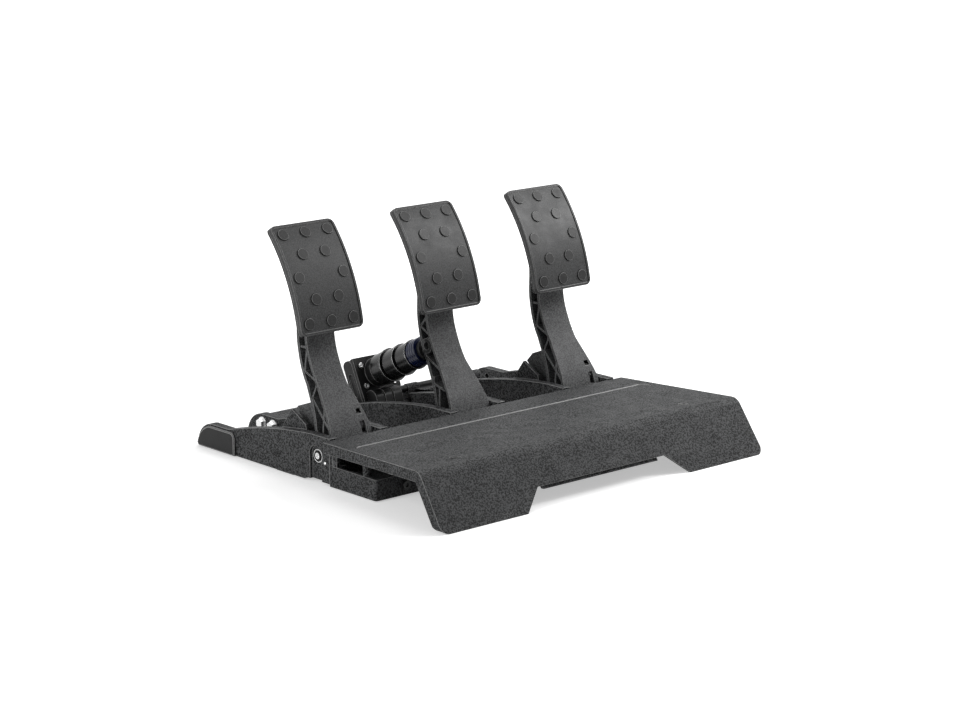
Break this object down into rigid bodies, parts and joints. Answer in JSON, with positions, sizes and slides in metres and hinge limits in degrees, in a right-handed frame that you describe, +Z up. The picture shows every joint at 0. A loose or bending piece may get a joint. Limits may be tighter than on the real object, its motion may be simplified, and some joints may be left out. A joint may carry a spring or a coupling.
{
  "type": "sim racing pedal set",
  "caption": "Racing pedal set with curved studded pads on ribbed arms, a load cell brake, spring returned clutch and throttle, and a sloping heel plate.",
  "frame": {"origin": "on the floor, under the middle of the whole set", "axes": "+X to the driver's right, +Y away from the driver, +Z up"},
  "size_m": [0.4164, 0.397, 0.2369],
  "materials": {
    "frame_plastic": "fine grain, matte",
    "arm_plastic": "smooth, semi-matte",
    "satin_plastic": "satin",
    "backing_steel": "satin black",
    "zinc_steel": "zinc plated",
    "dark_aluminium": "black anodised",
    "spring_steel": "bright",
    "bronze": "sintered",
    "blue_elastomer": "matte",
    "black_rubber": "matte",
    "board_green": "lacquered"
  },
  "bodies": {
    "base": {"module_left": "frame_plastic", "module_middle": "frame_plastic", "module_right": "frame_plastic", "front_beam": "frame_plastic", "heel_plate": "frame_plastic", "heel_posts": "frame_plastic", "skirt_lip": "frame_plastic", "end_cover_left": "satin_plastic", "end_cover_right": "satin_plastic", "rear_link_left": "frame_plastic", "rear_link_right": "frame_plastic", "link_bolts": "zinc_steel", "cross_tube": "zinc_steel", "rubber_feet": "black_rubber", "frame_screws": "zinc_steel", "axles": "zinc_steel", "axle_bolts": "zinc_steel", "bumpers": "black_rubber", "sensors": "board_green", "control_box": "satin_plastic", "circuit_board": "board_green", "data_sockets": "satin_plastic", "cell_pin": "zinc_steel"},
    "clutch_arm": {"arm_left": "arm_plastic", "bushes_left": "bronze", "plate_left": "backing_steel", "pad_left": "satin_plastic", "plate_screws_left": "zinc_steel", "magnet_left": "zinc_steel"},
    "brake_arm": {"arm_middle": "arm_plastic", "bushes_middle": "bronze", "plate_middle": "backing_steel", "pad_middle": "satin_plastic", "plate_screws_middle": "zinc_steel", "clevis_pin": "zinc_steel"},
    "throttle_arm": {"arm_right": "arm_plastic", "bushes_right": "bronze", "plate_right": "backing_steel", "pad_right": "satin_plastic", "plate_screws_right": "zinc_steel", "magnet_right": "zinc_steel"},
    "clutch_spring_seat": {"spring_seat_left": "dark_aluminium", "spring_left": "spring_steel"},
    "clutch_spring_cap": {"spring_cap_left": "dark_aluminium"},
    "throttle_spring_seat": {"spring_seat_right": "dark_aluminium", "spring_right": "spring_steel"},
    "throttle_spring_cap": {"spring_cap_right": "dark_aluminium"},
    "brake_cell": {"cell_front": "dark_aluminium", "cell_housing": "dark_aluminium", "cell_sides": "dark_aluminium", "cell_screws": "zinc_steel", "load_beam": "zinc_steel", "brake_discs": "blue_elastomer"},
    "brake_cup_front": {"brake_cup_1": "dark_aluminium", "brake_elastomer": "blue_elastomer"},
    "brake_cup_centre": {"brake_cup_2": "dark_aluminium"},
    "brake_cup_rear": {"brake_cup_3": "dark_aluminium"},
    "brake_plunger": {"brake_plunger": "zinc_steel"}
  },
  "joints": [
    {"name": "clutch_pedal", "type": "hinge", "parent": "base", "child": "clutch_arm", "pos_m": [-0.15, 0.0082, 0.027], "axis": [-1, 0, 0], "range_deg": [0, 16], "stiffness_Nm_per_rad": 12, "springref_deg": -8.59},
    {"name": "brake_pedal", "type": "hinge", "parent": "base", "child": "brake_arm", "pos_m": [0, 0.0082, 0.027], "axis": [-1, 0, 0], "range_deg": [0, 5], "stiffness_Nm_per_rad": 80, "springref_deg": -1.15},
    {"name": "throttle_pedal", "type": "hinge", "parent": "base", "child": "throttle_arm", "pos_m": [0.15, 0.0082, 0.027], "axis": [-1, 0, 0], "range_deg": [0, 16], "stiffness_Nm_per_rad": 7, "springref_deg": -8.59},
    {"name": "clutch_seat_turn", "type": "hinge", "parent": "base", "child": "clutch_spring_seat", "pos_m": [-0.15, 0.081, 0.0135], "axis": [1, 0, 0], "range_deg": [0, 4]},
    {"name": "clutch_cap_slide", "type": "slide", "parent": "clutch_spring_seat", "child": "clutch_spring_cap", "axis": [0, 0.5767, -0.817], "range_m": [0, 0.0146], "deforming": ["spring_left"]},
    {"name": "throttle_seat_turn", "type": "hinge", "parent": "base", "child": "throttle_spring_seat", "pos_m": [0.15, 0.081, 0.0135], "axis": [1, 0, 0], "range_deg": [0, 4]},
    {"name": "throttle_cap_slide", "type": "slide", "parent": "throttle_spring_seat", "child": "throttle_spring_cap", "axis": [0, 0.5767, -0.817], "range_m": [0, 0.0146], "deforming": ["spring_right"]},
    {"name": "cell_turn", "type": "hinge", "parent": "base", "child": "brake_cell", "pos_m": [0, 0.126, 0.021], "axis": [1, 0, 0], "range_deg": [0, 0.5]},
    {"name": "plunger_slide", "type": "slide", "parent": "brake_cell", "child": "brake_plunger", "axis": [0, 0.9026, -0.4305], "range_m": [0, 0.0078], "deforming": ["brake_elastomer", "brake_discs"]},
    {"name": "cup_front_slide", "type": "slide", "parent": "brake_cell", "child": "brake_cup_front", "axis": [0, 0.9026, -0.4305], "range_m": [0, 0.0065]},
    {"name": "cup_centre_slide", "type": "slide", "parent": "brake_cell", "child": "brake_cup_centre", "axis": [0, 0.9026, -0.4305], "range_m": [0, 0.0044]},
    {"name": "cup_rear_slide", "type": "slide", "parent": "brake_cell", "child": "brake_cup_rear", "axis": [0, 0.9026, -0.4305], "range_m": [0, 0.0023]}
  ],
  "couplings": [
    {"joint": "clutch_seat_turn", "follows": "clutch_pedal", "ratio": 0.17217},
    {"joint": "clutch_cap_slide", "follows": "clutch_pedal", "m_per_rad": 0.050942},
    {"joint": "throttle_seat_turn", "follows": "throttle_pedal", "ratio": 0.17217},
    {"joint": "throttle_cap_slide", "follows": "throttle_pedal", "m_per_rad": 0.050942},
    {"joint": "cell_turn", "follows": "brake_pedal", "ratio": 0.0581},
    {"joint": "plunger_slide", "follows": "brake_pedal", "m_per_rad": 0.08539},
    {"joint": "cup_front_slide", "follows": "brake_pedal", "m_per_rad": 0.07219},
    {"joint": "cup_centre_slide", "follows": "brake_pedal", "m_per_rad": 0.04813},
    {"joint": "cup_rear_slide", "follows": "brake_pedal", "m_per_rad": 0.02406}
  ]
}
